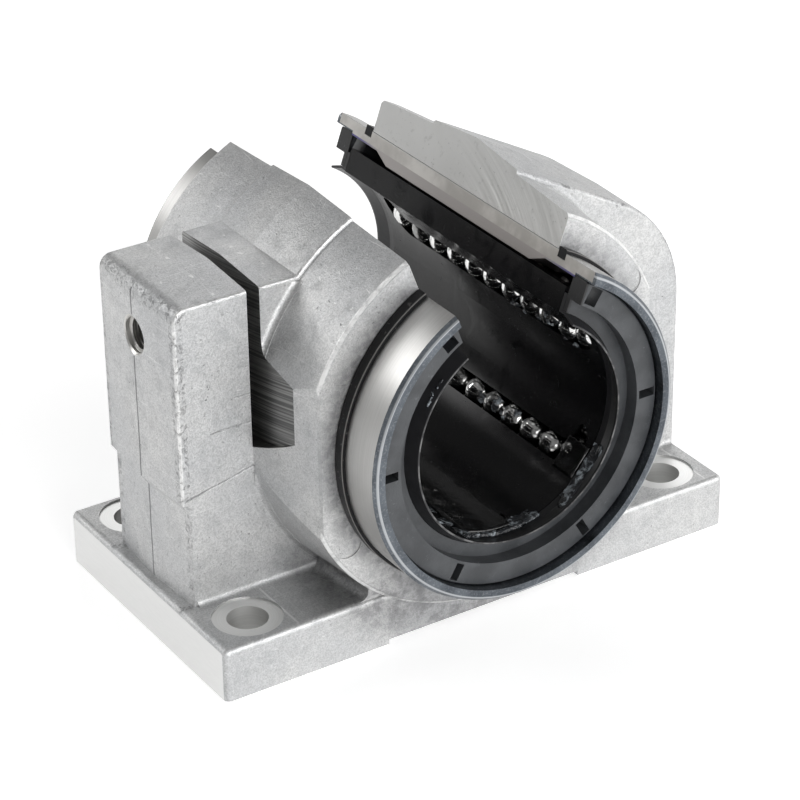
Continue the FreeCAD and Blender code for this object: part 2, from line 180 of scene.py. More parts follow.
# ---- materials ----
class Finish:
    """A node material whose patterns are laid out in the part's own millimetres."""

    def __init__(self, name):
        self.material = bpy.data.materials.new(name)
        self.material.use_nodes = True
        self.tree = self.material.node_tree
        self.tree.nodes.clear()
        output = self.tree.nodes.new("ShaderNodeOutputMaterial")
        self.shader = self.tree.nodes.new("ShaderNodeBsdfPrincipled")
        self.tree.links.new(self.shader.outputs["BSDF"], output.inputs["Surface"])
        coords = self.tree.nodes.new("ShaderNodeTexCoord")
        scale = self.node("ShaderNodeVectorMath", operation="SCALE")
        self.feed(scale.inputs[0], coords.outputs["Object"])
        self.feed(scale.inputs["Scale"], 1000.0)
        self.place = scale.outputs[0]
        split = self.node("ShaderNodeSeparateXYZ")
        self.feed(split.inputs[0], self.place)
        self.x, self.y, self.z = split.outputs
        face = self.node("ShaderNodeSeparateXYZ")
        self.feed(face.inputs[0], coords.outputs["Normal"])
        self.nx, self.ny, self.nz = face.outputs

    def node(self, kind, **settings):
        made = self.tree.nodes.new(kind)
        for name, value in settings.items():
            setattr(made, name, value)
        return made

    def feed(self, socket, value):
        if isinstance(value, bpy.types.NodeSocket):
            self.tree.links.new(value, socket)
        else:
            socket.default_value = value

    def set(self, **values):
        """Values of the shader's own sockets, by name with _ for a space."""
        for name, value in values.items():
            self.feed(self.shader.inputs[name.replace("_", " ")], value)

    def calc(self, operation, a, b=0.0, c=0.0):
        made = self.node("ShaderNodeMath", operation=operation)
        for socket, value in zip(made.inputs, (a, b, c)):
            self.feed(socket, value)
        return made.outputs[0]

    def chain(self, operation, values):
        result = values[0]
        for value in values[1:]:
            result = self.calc(operation, result, value)
        return result

    def product(self, *values):
        return self.chain("MULTIPLY", values)

    def total(self, *values):
        return self.chain("ADD", values)

    def either(self, *masks):
        return self.chain("MAXIMUM", masks)

    def minus(self, a, b):
        return self.calc("SUBTRACT", a, b)

    def size(self, value):
        return self.calc("ABSOLUTE", value)

    def above(self, value, limit):
        return self.calc("GREATER_THAN", value, limit)

    def below(self, value, limit):
        return self.calc("LESS_THAN", value, limit)

    def between(self, value, low, high):
        return self.product(self.above(value, low), self.below(value, high))

    def near(self, value, target, width):
        return self.calc("COMPARE", value, target, width)

    def hypot(self, a, b):
        return self.calc("SQRT", self.total(self.product(a, a), self.product(b, b)))

    def away(self, a, b, point):
        """Distance from a point in the plane of a and b."""
        return self.hypot(self.minus(a, point[0]), self.minus(b, point[1]))

    def axis_distance(self):
        return self.hypot(self.x, self.minus(self.z, AXIS_Z))

    def opening_wall(self):
        """Distance of the opening's walls from the middle, at this height."""
        return self.calc("MULTIPLY_ADD", self.minus(self.z, AXIS_Z), OPENING_SLOPE, OPENING_HALF)

    def fade(self, value, start, end):
        """0 at start, 1 at end and smooth between; start may be the larger."""
        made = self.node("ShaderNodeMapRange", interpolation_type="SMOOTHSTEP")
        self.feed(made.inputs["Value"], value)
        self.feed(made.inputs["From Min"], min(start, end))
        self.feed(made.inputs["From Max"], max(start, end))
        self.feed(made.inputs["To Min"], 0.0 if start < end else 1.0)
        self.feed(made.inputs["To Max"], 1.0 if start < end else 0.0)
        return made.outputs[0]

    def level(self, value, low, high):
        """A 0 to 1 value spread between low and high."""
        made = self.node("ShaderNodeMapRange")
        self.feed(made.inputs["Value"], value)
        self.feed(made.inputs["To Min"], low)
        self.feed(made.inputs["To Max"], high)
        return made.outputs[0]

    def vector(self, x, y, z):
        made = self.node("ShaderNodeCombineXYZ")
        for socket, value in zip(made.inputs, (x, y, z)):
            self.feed(socket, value)
        return made.outputs[0]

    def noise(self, per_mm, detail=2.0, rough=0.5, at=None, warp=0.0):
        made = self.node("ShaderNodeTexNoise")
        self.feed(made.inputs["Vector"], self.place if at is None else at)
        self.feed(made.inputs["Scale"], per_mm)
        self.feed(made.inputs["Detail"], detail)
        self.feed(made.inputs["Roughness"], rough)
        self.feed(made.inputs["Distortion"], warp)
        return made.outputs["Fac"]

    def streaks(self, first, second, seed, detail, rough):
        """Noise over two coordinates stretched beforehand; each seed gives another one."""
        return self.noise(1.0, detail, rough, at=self.vector(first, second, seed))

    def swing(self, pattern, *factors):
        """How far a 0 to 1 pattern is from its middle, times the factors."""
        return self.product(self.minus(pattern, 0.5), *factors)

    def colours(self, share, first, second):
        made = self.node("ShaderNodeMix", data_type="RGBA")
        self.feed(made.inputs[0], share)
        self.feed(made.inputs[6], self.rgb(first))
        self.feed(made.inputs[7], self.rgb(second))
        return made.outputs[2]

    def coats(self, base, *coats):
        """Colours laid over a base one after another, each given as (share, colour)."""
        for share, colour in coats:
            base = self.colours(share, base, colour)
        return base

    def mix(self, share, first, second):
        made = self.node("ShaderNodeMix", data_type="FLOAT")
        self.feed(made.inputs[0], share)
        self.feed(made.inputs[2], first)
        self.feed(made.inputs[3], second)
        return made.outputs[0]

    @staticmethod
    def rgb(value):
        return (*value, 1.0) if isinstance(value, tuple) else value

    def relief(self, height):
        """Bump whose height is in millimetres."""
        bump = self.node("ShaderNodeBump")
        self.feed(bump.inputs["Height"], height)
        self.feed(bump.inputs["Distance"], 0.001)
        self.feed(self.shader.inputs["Normal"], bump.outputs[0])


def line_mask(f, value, at, width, wobble, wobble_per_mm):
    """1 on a thin wandering line where value is at, fading to 0 within width."""
    shake = f.swing(f.noise(wobble_per_mm, 3.0), wobble)
    return f.fade(f.size(f.total(f.minus(value, at), shake)), width, width * 0.3)


def scratches(f, along, across, seed):
    """Sparse thin marks, long in one direction and narrow in the other."""
    marks = f.streaks(f.product(along, 0.5), f.product(across, 4.0), seed, 2.0, 0.5)
    return f.fade(marks, 0.675, 0.73)


def housing_distances(f):
    """Distances that the housing's masks are made from."""
    side, depth = f.size(f.x), f.size(f.y)
    return SimpleNamespace(side=side, depth=depth, axis=f.axis_distance(),
                           screw=f.hypot(f.y, f.minus(f.z, SCREW_Z)),
                           bolt=f.away(side, depth, (HOLE_X, HOLE_Y)))


def cut_masks(f, far):
    """Where a cutter has been: 1 on cut metal and 0 on the cast skin."""
    base_end = f.below(f.x, BASE_END_X)
    seat = f.product(f.below(far.bolt, SEAT_R), f.below(f.z, SEAT_Z))
    opening = f.near(f.minus(far.side, f.opening_wall()), 0.0, CUT_TOLERANCE)
    saw_centre_z = SLOT_FLOOR_Z + SAW_R
    slot_floor = f.product(f.near(f.hypot(f.y, f.minus(f.z, saw_centre_z)), SAW_R, CUT_TOLERANCE),
                           f.near(f.x, sum(SLOT_X) / 2, SLOT_HALF))
    slot_wall = f.product(f.either(*(f.near(f.x, x, SLOT_WALL_TOLERANCE) for x in SLOT_X)),
                          f.above(f.size(f.nx), 0.99))
    slot = f.either(slot_floor, slot_wall)
    screw_way = f.product(f.below(far.screw, SCREW_WAY_R), f.below(f.x, SCREW_WAY_X),
                          f.fade(f.size(f.nx), 0.97, 0.9))
    bore = f.below(far.axis, HOUSING_BORE_R)
    sole = f.below(f.z, SOLE_Z)
    return SimpleNamespace(base_end=base_end, seat=seat, opening=opening, slot=slot,
                           screw_way=screw_way,
                           any=f.either(base_end, seat, opening, slot, screw_way, bore, sole))


def skin_patterns(f):
    """Noises that the colour, roughness and relief of the cast skin share."""
    return SimpleNamespace(
        mottle=f.noise(0.36, 6.0, 0.68),
        grain=f.noise(2.6, 3.0, 0.7),
        stains=f.fade(f.noise(0.16, 6.0, 0.72), 0.5, 0.66),
        pits=f.fade(f.noise(1.1, 4.0, 0.75, at=f.vector(f.z, f.x, f.y)), 0.645, 0.69))


def die_lines(f, far):
    """The parting line down the column's outer face, whose dark colour is a painted shadow along
    it, and the die's joints on its front.
    """
    parting = f.product(f.below(f.nx, -0.6), f.below(f.x, COLUMN_SIDE_X),
                        f.above(far.screw, SCREW_CHAMFER_R),
                        line_mask(f, f.y, 0.0, 0.34, 0.7, 0.12), f.between(f.z, *COLUMN_Z))
    rising = f.calc("MULTIPLY_ADD", f.x, JOINT_RISE, f.z)
    low = line_mask(f, rising, 52.6, 0.30, 1.3, 0.1)
    high = f.product(line_mask(f, f.z, 52.9, 0.22, 0.8, 0.15), f.above(f.x, -56.0), 0.8)
    top = f.product(line_mask(f, f.z, 59.6, 0.2, 0.8, 0.15), f.above(f.x, -51.5), 0.5)
    patchy = f.level(f.fade(f.noise(0.35, 3.0), 0.35, 0.6), 0.25, 1.0)
    joints = f.product(f.below(f.y, FRONT_Y), f.between(f.x, *JOINT_X),
                       f.either(low, high, top), patchy)
    return parting, joints


def edge_marks(f, far, mottle):
    """Flash, which crumbles along the band's rounded edges, and edges painted bright: rubbed wear,
    and a painted highlight along their rounding.
    """
    lean = f.size(f.ny)
    band = f.product(f.fade(lean, 0.15, 0.4), f.fade(lean, 0.97, 0.9),
                     f.between(far.depth, *BAND_EDGE_Y), f.above(far.axis, BAND_BACK_R))
    beside = f.product(f.below(f.x, COLUMN_EDGE_X),
                       f.fade(f.size(f.minus(far.depth, BAND_Y)), 1.5, 0.4))
    upright = f.either(f.product(band, f.fade(f.nz, 0.6, 0.3)), beside)
    column_top = f.product(f.fade(f.away(f.x, f.z, COLUMN_TOP_EDGE), 3.2, 1.4), 0.8)
    crumbs = f.fade(f.noise(0.8, 6.0, 0.85, warp=0.6), 0.53, 0.60)
    flash = f.product(f.either(f.product(upright, f.below(f.x, -40.0)), column_top,
                               f.product(band, f.above(f.x, 10.0))), crumbs)

    # The boss, base and column edges are painted bright as a highlight on their rounding, partly
    # rubbed wear.
    boss = f.fade(f.away(far.axis, far.depth, BOSS_EDGE), 0.65, 0.35)
    base = f.product(f.fade(f.away(far.depth, f.z, BASE_EDGE), 1.3, 0.5), 0.3)
    column = f.product(band, f.below(f.x, -20.0))
    wear_and_sheen = f.product(f.either(boss, base, column), f.level(f.fade(mottle, 0.38, 0.55), 0.35, 0.95))
    return flash, wear_and_sheen


def skin_colour(f, far, skin, parting, joints, flash, wear_and_sheen):
    """Clouded pale grey with grain, stains, pits, bright rubs, painted shade under the boss and by
    the bearing, lines with a painted shadow on the parting line, and edges painted bright.
    """
    clouds = f.fade(f.noise(0.05, 4.0, 0.55), 0.34, 0.68)
    rubs = f.product(f.fade(f.noise(1.25, 5.0, 0.8), 0.58, 0.66), 0.5)
    marks = f.either(scratches(f, f.x, f.z, 1.0),
                     scratches(f, f.total(f.x, f.z), f.minus(f.z, f.x), 4.0),
                     scratches(f, f.total(f.y, f.z), f.minus(f.z, f.y), 8.0))
    # Painted shade darkens the corner under the boss, and painted shade darkens its face nearer
    # the bearing.
    corner_shade = f.product(f.fade(f.z, 24.0, 13.0), f.fade(far.axis, 58.0, 47.5),
                     f.above(far.depth, BAND_Y), f.fade(far.side, 56.0, 40.0),
                     f.level(f.fade(skin.mottle, 0.35, 0.6), 0.75, 0.45))
    # Painted shade: the boss's face is darker towards the bearing.
    junction_shade = f.product(f.fade(far.axis, 44.0, 38.0), f.above(far.depth, BOSS_FACE_Y),
                      f.below(far.axis, BOSS_FACE_R),
                      f.level(f.fade(skin.mottle, 0.6, 0.4), 0.5, 0.9),
                      f.level(f.fade(skin.grain, 0.4, 0.6), 0.7, 1.0))
    return f.coats(f.colours(clouds, SKIN_LOW, SKIN_HIGH),
                   (f.product(f.fade(skin.mottle, 0.52, 0.44), 0.17), SKIN_MOTTLE),
                   (f.product(skin.stains, 0.16), SKIN_STAIN),
                   (f.product(f.fade(skin.grain, 0.54, 0.44), 0.38), SKIN_GRAIN),
                   (f.product(f.either(rubs, f.product(marks, 0.85)), 0.70), SKIN_RUBBED),
                   (f.product(skin.pits, 0.62), PIT_AND_SHADE_DARK),
                   (corner_shade, PIT_AND_SHADE_DARK),
                   (junction_shade, SHADE_AND_FLASH_DARK),
                   (f.product(wear_and_sheen, 0.75), SKIN_WEAR_AND_SHEEN),
                   (f.product(parting, 0.8), PARTING_SHADOW),
                   (f.product(joints, 0.6), JOINT_DARK),
                   (f.product(flash, 0.55), SHADE_AND_FLASH_DARK))


def tool_marks(f, far, cut):
    """Marks along the path that each cutter took, 0 to 1, and all of them as one."""
    saw_path = f.minus(f.calc("MULTIPLY_ADD", f.y, 0.12, f.z), f.product(f.y, f.y, 0.15 / SAW_R))
    saw = f.streaks(f.product(saw_path, 2.6), f.product(f.y, 0.02), 0.0, 2.0, 0.5)
    arcs = f.streaks(f.away(f.y, f.z, MILL_CENTRE), f.product(f.y, 0.02), 3.0, 3.0, 0.6)
    arcs = f.mix(f.fade(f.y, 12.0, -14.0), f.level(f.noise(0.12, 4.0, 0.6), 0.4, 0.6), arcs)
    rings = f.streaks(f.total(f.product(far.bolt, 2.2), f.product(f.z, 1.7)), 0.0, 5.0, 2.0, 0.5)
    feed = f.streaks(f.product(f.y, 0.25), f.product(f.z, 1.6), 7.0, 3.0, 0.6)
    every = f.mix(cut.slot, f.mix(cut.seat, f.mix(cut.base_end, arcs, feed), rings), saw)
    return SimpleNamespace(saw=saw, rings=rings, feed=feed, every=every)


def cut_colour(f, cut, marks, pits):
    """Bare metal, with its own look on each kind of cut; the saw slot is painted dark as shade
    inside it.
    """
    scuffs = f.fade(f.noise(0.5, 5.0, 0.7), 0.58, 0.7)
    sawn = f.fade(marks.saw, 0.40, 0.62)
    return f.coats(f.colours(f.fade(marks.every, 0.3, 0.7), CUT_LOW, CUT_HIGH),
                   (f.product(cut.opening, scuffs, 0.4), CUT_DULL),
                   (f.product(cut.opening, pits, 0.7), CUT_PIT),
                   (cut.base_end, f.colours(marks.feed, END_LOW, END_HIGH)),
                   (cut.seat, f.colours(marks.rings, SEAT_LOW, SEAT_HIGH)),
                   (cut.slot, f.colours(sawn, SAWN_SHADED_LOW, SAWN_SHADED_HIGH)),
                   (f.product(cut.screw_way, 0.7), SCREW_WAY))


def cast_aluminium():
    f = Finish("cast_aluminium_pale")
    far = housing_distances(f)
    cut = cut_masks(f, far)
    skin = skin_patterns(f)
    parting, joints = die_lines(f, far)
    flash, wear_and_sheen = edge_marks(f, far, skin.mottle)
    marks = tool_marks(f, far, cut)
    f.set(Base_Color=f.colours(cut.any, skin_colour(f, far, skin, parting, joints, flash, wear_and_sheen),
                               cut_colour(f, cut, marks, skin.pits)))

    skin_rough = f.total(f.level(skin.mottle, 0.42, 0.54),
                         f.product(f.either(skin.pits, skin.stains), 0.10),
                         f.product(wear_and_sheen, -0.12))
    cut_rough = f.mix(cut.base_end, f.level(marks.every, 0.34, 0.44), 0.38)
    f.set(Roughness=f.mix(cut.any, skin_rough, cut_rough), Metallic=0.84)

    lines = f.total(f.product(parting, -0.28), f.product(joints, -0.16),
                    f.product(flash, -0.13), f.product(skin.pits, -0.06))
    skin_height = f.total(f.swing(f.noise(0.12, 3.0), 0.12), f.swing(skin.grain, 0.10),
                          f.swing(skin.mottle, 0.09), lines)
    depth = f.mix(cut.slot, f.mix(cut.base_end, f.mix(cut.seat, 0.10, 0.04), 0.010), 0.14)
    f.relief(f.mix(cut.any, skin_height, f.swing(marks.every, depth)))
    return f.material


def bearing_steel():
    """Ground outside, blued rims with a painted highlight round their rounded edge, and a cut
    section with a temper tint at its ends.
    """
    f = Finish("bearing_steel_ground")
    axis = f.axis_distance()
    along = f.size(f.y)
    beyond_rim = f.above(along, SLEEVE_RIM_Y)
    rim = f.either(beyond_rim, f.product(f.above(along, SLEEVE_STEP_Y),
                                         f.below(axis, SLEEVE_RIM_R)))
    inside = f.product(f.below(axis, SLEEVE_STEP_R), f.below(along, SLEEVE_STEP_Y))
    turn = f.calc("ARCTAN2", f.x, f.minus(f.z, AXIS_Z))
    ground = f.streaks(f.product(f.y, 3.2), f.product(turn, 1.6), 0.0, 3.0, 0.65)
    stain = f.fade(f.noise(0.07, 4.0, 0.6, warp=0.5), 0.5, 0.75)
    outside = f.coats(f.colours(f.fade(ground, 0.3, 0.7), OUTSIDE_LOW, OUTSIDE_HIGH),
                      (f.product(stain, 0.3), OUTSIDE_STAIN))
    # A painted highlight line round the rim's rounded edge.
    edge = f.product(beyond_rim, f.fade(f.size(f.minus(axis, SLEEVE_EDGE_R)), 0.35, 0.1))
    nicks = f.fade(f.noise(1.6, 5.0, 0.8), 0.5, 0.62)
    blued = f.coats(f.colours(f.fade(f.noise(0.16, 3.0), 0.35, 0.65), BLUED_LOW, BLUED_HIGH),
                    (f.product(f.either(edge, f.product(nicks, 0.25)), 0.7), BLUED_NICKS_AND_SHEEN))
    tint = f.colours(f.fade(along, 31.0, 41.0), TINT_MIDDLE, TINT_END)
    section = f.colours(f.fade(f.noise(0.09, 4.0, 0.6), 0.35, 0.65), SECTION_LOW, SECTION_HIGH)
    f.set(Base_Color=f.coats(section, (inside, tint), (f.above(axis, SLEEVE_OUTSIDE_R), outside),
                             (rim, blued)), Metallic=1.0)
    f.set(Roughness=f.mix(rim, f.level(ground, 0.34, 0.44), 0.38))
    f.relief(f.swing(ground, 0.006))
    return f.material


def black_cage():
    """Glossy black moulding, wet with grease that lies thicker in places."""
    f = Finish("black_plastic_oiled")
    film = f.fade(f.noise(0.12, 4.0, 0.6, warp=1.5), 0.5, 0.66)
    drops = f.noise(0.5, 3.0, 0.6, warp=1.0)
    f.set(Base_Color=f.colours(f.product(film, 0.5), CAGE_DARK, CAGE_OILED))
    f.set(Roughness=f.mix(film, f.level(drops, 0.22, 0.30), 0.16), Specular_IOR_Level=0.30)
    f.relief(f.total(f.swing(drops, 0.025, film), f.swing(f.noise(0.35, 2.0), 0.01)))
    return f.material


def grey_moulding():
    """Satin grey moulding with scuffs, black with grease at its right cut end."""
    f = Finish("grey_plastic_satin")
    cloud = f.noise(0.15, 4.0, 0.6)
    scuffs = f.fade(f.noise(0.7, 5.0, 0.75, warp=0.8), 0.60, 0.72)
    from_wall = f.minus(f.x, f.opening_wall())
    greased = f.product(f.fade(f.total(from_wall, f.product(cloud, 0.8)), 1.3, 0.7),
                        f.above(f.x, 0.0), f.above(f.z, AXIS_Z))
    f.set(Base_Color=f.coats(f.colours(f.fade(cloud, 0.35, 0.65), GREY_LOW, GREY_HIGH),
                             (greased, GREY_GREASED), (f.product(scuffs, 0.35), GREY_SCUFFED)))
    f.set(Roughness=f.level(cloud, 0.36, 0.5))
    f.relief(f.total(f.product(f.noise(2.6, 2.0), 0.03), f.product(scuffs, -0.02)))
    return f.material


def seal_rubber():
    """Black rubber, paler in patches along the lip."""
    f = Finish("seal_rubber_black")
    lip = f.product(f.fade(f.axis_distance(), *SEAL_LIP_R), f.fade(f.size(f.y), *SEAL_LIP_Y),
                    f.fade(f.noise(0.25, 4.0, 0.7), 0.42, 0.62))
    cloud = f.noise(0.3, 4.0, 0.6)
    rubber = f.colours(cloud, RUBBER_LOW, RUBBER_HIGH)
    f.set(Base_Color=f.colours(f.product(lip, 0.5), rubber, RUBBER_LIP))
    f.set(Roughness=f.level(cloud, 0.26, 0.46))
    f.relief(f.product(f.noise(1.4, 3.0), 0.03))
    return f.material


def ring_steel():
    """Blackened spring steel, bare in spots, with a painted highlight along its outer edges."""
    f = Finish("ring_steel_blackened")
    wear_and_sheen = f.fade(f.noise(0.8, 4.0, 0.7), 0.6, 0.72)
    from_middle = f.size(f.minus(f.size(f.y), RING_Y))
    # A painted highlight along the ring's outer front corner.
    edge = f.product(f.fade(f.axis_distance(), *RING_EDGE_R), f.fade(from_middle, 0.25, 0.08))
    shine = f.either(f.product(wear_and_sheen, 0.4), f.product(edge, 0.7))
    f.set(Base_Color=f.colours(shine, RING_DARK, RING_BARE_AND_SHEEN))
    f.set(Roughness=f.level(wear_and_sheen, 0.42, 0.3), Metallic=0.7)
    f.relief(f.product(f.noise(1.8, 3.0), 0.03))
    return f.material


def ball_steel():
    f = Finish("ball_steel_greased")
    film = f.fade(f.noise(0.30, 3.0, 0.6, warp=0.8), 0.46, 0.60)
    f.set(Base_Color=f.colours(film, BALL_BRIGHT, BALL_GREASED))
    f.set(Roughness=f.level(film, 0.09, 0.22), Metallic=1.0)
    f.relief(f.product(f.noise(0.8, 2.0, 0.5), film, 0.05))
    return f.material


def screw_steel():
    f = Finish("screw_steel_blackened")
    wear_and_sheen = f.fade(f.noise(1.3, 4.0, 0.7), 0.5, 0.7)
    f.set(Base_Color=f.colours(wear_and_sheen, SCREW_DARK, SCREW_WORN))
    f.set(Roughness=f.level(wear_and_sheen, 0.40, 0.28), Metallic=0.8)
    f.relief(f.product(f.noise(3.0, 2.0), 0.015))
    return f.material


def tapped_metal():
    f = Finish("tapped_aluminium")
    chatter = f.noise(1.6, 3.0, 0.6)
    f.set(Base_Color=f.colours(chatter, TAPPED_LOW, TAPPED_HIGH))
    f.set(Roughness=f.level(chatter, 0.24, 0.38), Metallic=0.95)
    f.relief(f.product(chatter, 0.03))
    return f.material


def grease(name, shades, ripple):
    f = Finish(name)
    cloud = f.noise(0.45, 3.0, 0.6, warp=0.5)
    f.set(Base_Color=f.colours(f.fade(cloud, 0.48, 0.72), *shades))
    f.set(Roughness=f.level(cloud, 0.08, 0.22), IOR=1.47)
    f.relief(f.product(cloud, ripple))
    return f.material


materials = {
    "cast_aluminium": cast_aluminium(),
    "bearing_steel": bearing_steel(),
    "black_plastic": black_cage(),
    "grey_plastic": grey_moulding(),
    "seal_rubber": seal_rubber(),
    "spring_steel": ring_steel(),
    "ball_steel": ball_steel(),
    "screw_steel": screw_steel(),
}
slots = {part["node"]: part["material_slot"] for part in frame["record"]["subparts"]}
for name, node in nodes.items():
    node.data.materials.clear()
    node.data.materials.append(materials[slots[name]])


# ---- pieces ----
def piece(name, points, faces, material, body=FIXED):
    """A smooth mesh piece from points in millimetres, riding on a CAD body."""
    mesh = bpy.data.meshes.new(name)
    mesh.from_pydata([tuple(mm(*point)) for point in points], [], faces)
    shell = bmesh.new()
    shell.from_mesh(mesh)
    bmesh.ops.remove_doubles(shell, verts=shell.verts, dist=WELD_DISTANCE)
    bmesh.ops.recalc_face_normals(shell, faces=shell.faces)
    shell.to_mesh(mesh)
    shell.free()
    mesh.validate()
    mesh.shade_smooth()
    mesh.materials.append(material)
    made = bpy.data.objects.new(name, mesh)
    bpy.context.scene.collection.objects.link(made)
    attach(made, body)
    return made


def grid_faces(rows, columns):
    """Quads over points stored row by row, each row a closed ring."""
    faces = []
    for row in range(rows - 1):
        for column in range(columns):
            beside = (column + 1) % columns
            faces.append((row * columns + column, row * columns + beside,
                          (row + 1) * columns + beside, (row + 1) * columns + column))
    return faces


def tapped_thread():
    """The ridge of the column's internal thread, from the chamfer through to the saw slot."""
    start, finish = THREAD_START_X, SLOT_X[0] - 0.05
    per_turn = 40
    steps = int((finish - start) / THREAD_PITCH * per_turn)
    foot_r, flank_r, crest_r = SCREW_HOLE_R + 0.1, SCREW_HOLE_R - 0.02, 3.44
    flank = [(foot_r, 0.54), (flank_r, 0.50), (crest_r, 0.13)]
    profile = [(radius, -offset) for radius, offset in flank] + flank[::-1]
    points = []
    for step in range(steps + 1):
        turn = 2 * math.pi * step / per_turn
        x = start + THREAD_PITCH * step / per_turn
        # The ridge rises from the hole's wall over a third of a turn at each end.
        height = min(1.0, min(step, steps - step) / (per_turn / 3))
        for radius, offset in profile:
            radius = foot_r - (foot_r - radius) * height
            points.append((x + offset * (0.3 + 0.7 * height), radius * math.cos(turn),
                           SCREW_Z + radius * math.sin(turn)))
    columns = len(profile)
    faces = grid_faces(steps + 1, columns)
    faces.append(tuple(range(columns)))
    faces.append(tuple(steps * columns + index for index in reversed(range(columns))))
    made = piece("screw_hole_thread", points, faces, tapped_metal())
    made.data.set_sharp_from_angle(angle=THREAD_SHARP)


def set_screw():
    """Threaded set screw with a dog point and a hexagon socket, in the CAD screw's place."""
    low, high = (corner * 1000 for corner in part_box("adjusting_screw"))
    tip, head = high.x, low.x
    around, per_pitch = 40, 10
    point_r, point_length, point_chamfer = 2.75, 2.7, 0.35
    socket_half, socket_chamfer, socket_depth, socket_cone = 2.0, 0.25, 4.5, 0.5
    crest_r, root_r, run_out = 3.97, 3.30, 0.8
    thread_end = tip - point_length

    def thread_r(x, turn):
        """The thread's radius, which runs out to its root at both ends."""
        fade = min(1.0, (x - head) / run_out, (thread_end - x) / run_out)
        phase = ((x - THREAD_START_X) / THREAD_PITCH - turn / (2 * math.pi)) % 1.0
        away = min(phase, 1 - phase)
        share = min(1.0, max(0.0, (away - 0.15) / 0.27))
        return root_r + (crest_r - root_r) * min(share, max(fade, 0.0))

    def hexagon(turn):
        return socket_half / math.cos((turn % (math.pi / 3)) - math.pi / 6)

    samples = int((thread_end - head) / THREAD_PITCH * per_pitch)
    rings = [(tip, lambda x, turn: 0.0),
             (tip, lambda x, turn: point_r - point_chamfer),
             (tip - point_chamfer, lambda x, turn: point_r),
             (thread_end, lambda x, turn: point_r)]
    rings += [(thread_end - (thread_end - head) * index / samples, thread_r)
              for index in range(samples + 1)]
    rings += [(head, lambda x, turn: hexagon(turn) + socket_chamfer),
              (head + socket_chamfer, lambda x, turn: hexagon(turn)),
              (head + socket_depth, lambda x, turn: hexagon(turn)),
              (head + socket_depth + socket_cone, lambda x, turn: 0.0)]
    points = []
    for x, radius_at in rings:
        for index in range(around):
            turn = 2 * math.pi * index / around
            radius = radius_at(x, turn)
            points.append((x, radius * math.cos(turn), SCREW_Z + radius * math.sin(turn)))
    made = piece("set_screw", points, grid_faces(len(rings), around), materials["screw_steel"],
                 body=SCREW_BODY)
    made.data.set_sharp_from_angle(angle=THREAD_SHARP)
    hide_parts("adjusting_screw")


def shell_centres(mesh):
    """The middle of each separate shell of a mesh, in millimetres."""
    leader = list(range(len(mesh.vertices)))

    def find(index):
        while leader[index] != index:
            leader[index] = leader[leader[index]]
            index = leader[index]
        return index

    for edge in mesh.edges:
        first, second = (find(index) for index in edge.vertices)
        leader[first] = second
    shells = {}
    for vertex in mesh.vertices:
        shells.setdefault(find(vertex.index), []).append(vertex.co * 1000)
    return [[(min(values) + max(values)) / 2 for values in zip(*corners)]
            for corners in shells.values()]


def round_balls(node):
    """Smooth balls in the place of a CAD node of balls."""
    rows, around = 13, 22
    points, faces = [], []
    for x, y, z in shell_centres(nodes[node].data):
        start = len(points)
        for row in range(rows):
            tilt = math.pi * row / (rows - 1)
            for column in range(around):
                turn = 2 * math.pi * column / around
                points.append((x + BALL_R * math.sin(tilt) * math.cos(turn),
                               y + BALL_R * math.sin(tilt) * math.sin(turn),
                               z + BALL_R * math.cos(tilt)))
        faces += [tuple(start + index for index in face) for face in grid_faces(rows, around)]
    made = piece("round_" + node, points, faces, materials["ball_steel"])
    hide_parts(node)


def smear_face(angles, reach_y, thickness, bias, fine, seed, ragged):
    """A film's face over its grid: the points, and how high the grease is, 0 at its edge."""
    points, heights = [], []
    for row in range(SMEAR_GRID):
        for column in range(SMEAR_GRID):
            u, v = column / (SMEAR_GRID - 1), row / (SMEAR_GRID - 1)
            turn = math.radians(angles[0] + (angles[1] - angles[0]) * u)
            y = reach_y[0] + (reach_y[1] - reach_y[0]) * v
            inside = min(1.0, SMEAR_EDGE * min(u, 1 - u, v, 1 - v))
            here = Vector((SMEAR_NOISE_R * turn * fine, y * fine, seed))
            rough = 0.5 * noise.noise(here * 2.3) + 0.25 * noise.noise(here * 5.1)
            height = noise.noise(here) + ragged * rough + bias - (1 - inside)
            bore_r = min(CAGE_BORE_R, CAGE_BORE_R + CAGE_FLARE * (y - CAGE_FLARE_Y))
            radius = bore_r - thickness * min(1.0, max(0.0, height * SMEAR_RISE))
            points.append((radius * math.cos(turn), y, AXIS_Z + radius * math.sin(turn)))
            heights.append(height)
    return points, heights


def quad_corners(row, column):
    first = row * SMEAR_GRID + column
    return (first, first + 1, first + SMEAR_GRID + 1, first + SMEAR_GRID)


def quad_neighbours(row, column):
    """The quads beside one, in the order of its sides."""
    return ((row - 1, column), (row, column + 1), (row + 1, column), (row, column - 1))


def greased_quads(heights):
    """Quads that lie in the grease, where at least SMEAR_ISLAND of them hang together."""
    wet = {(row, column) for row in range(SMEAR_GRID - 1) for column in range(SMEAR_GRID - 1)
           if min(heights[corner] for corner in quad_corners(row, column)) > 0}
    kept = set()
    while wet:
        island, edge = set(), [wet.pop()]
        while edge:
            quad = edge.pop()
            island.add(quad)
            for neighbour in quad_neighbours(*quad):
                if neighbour in wet:
                    wet.remove(neighbour)
                    edge.append(neighbour)
        if len(island) >= SMEAR_ISLAND:
            kept |= island
    return kept


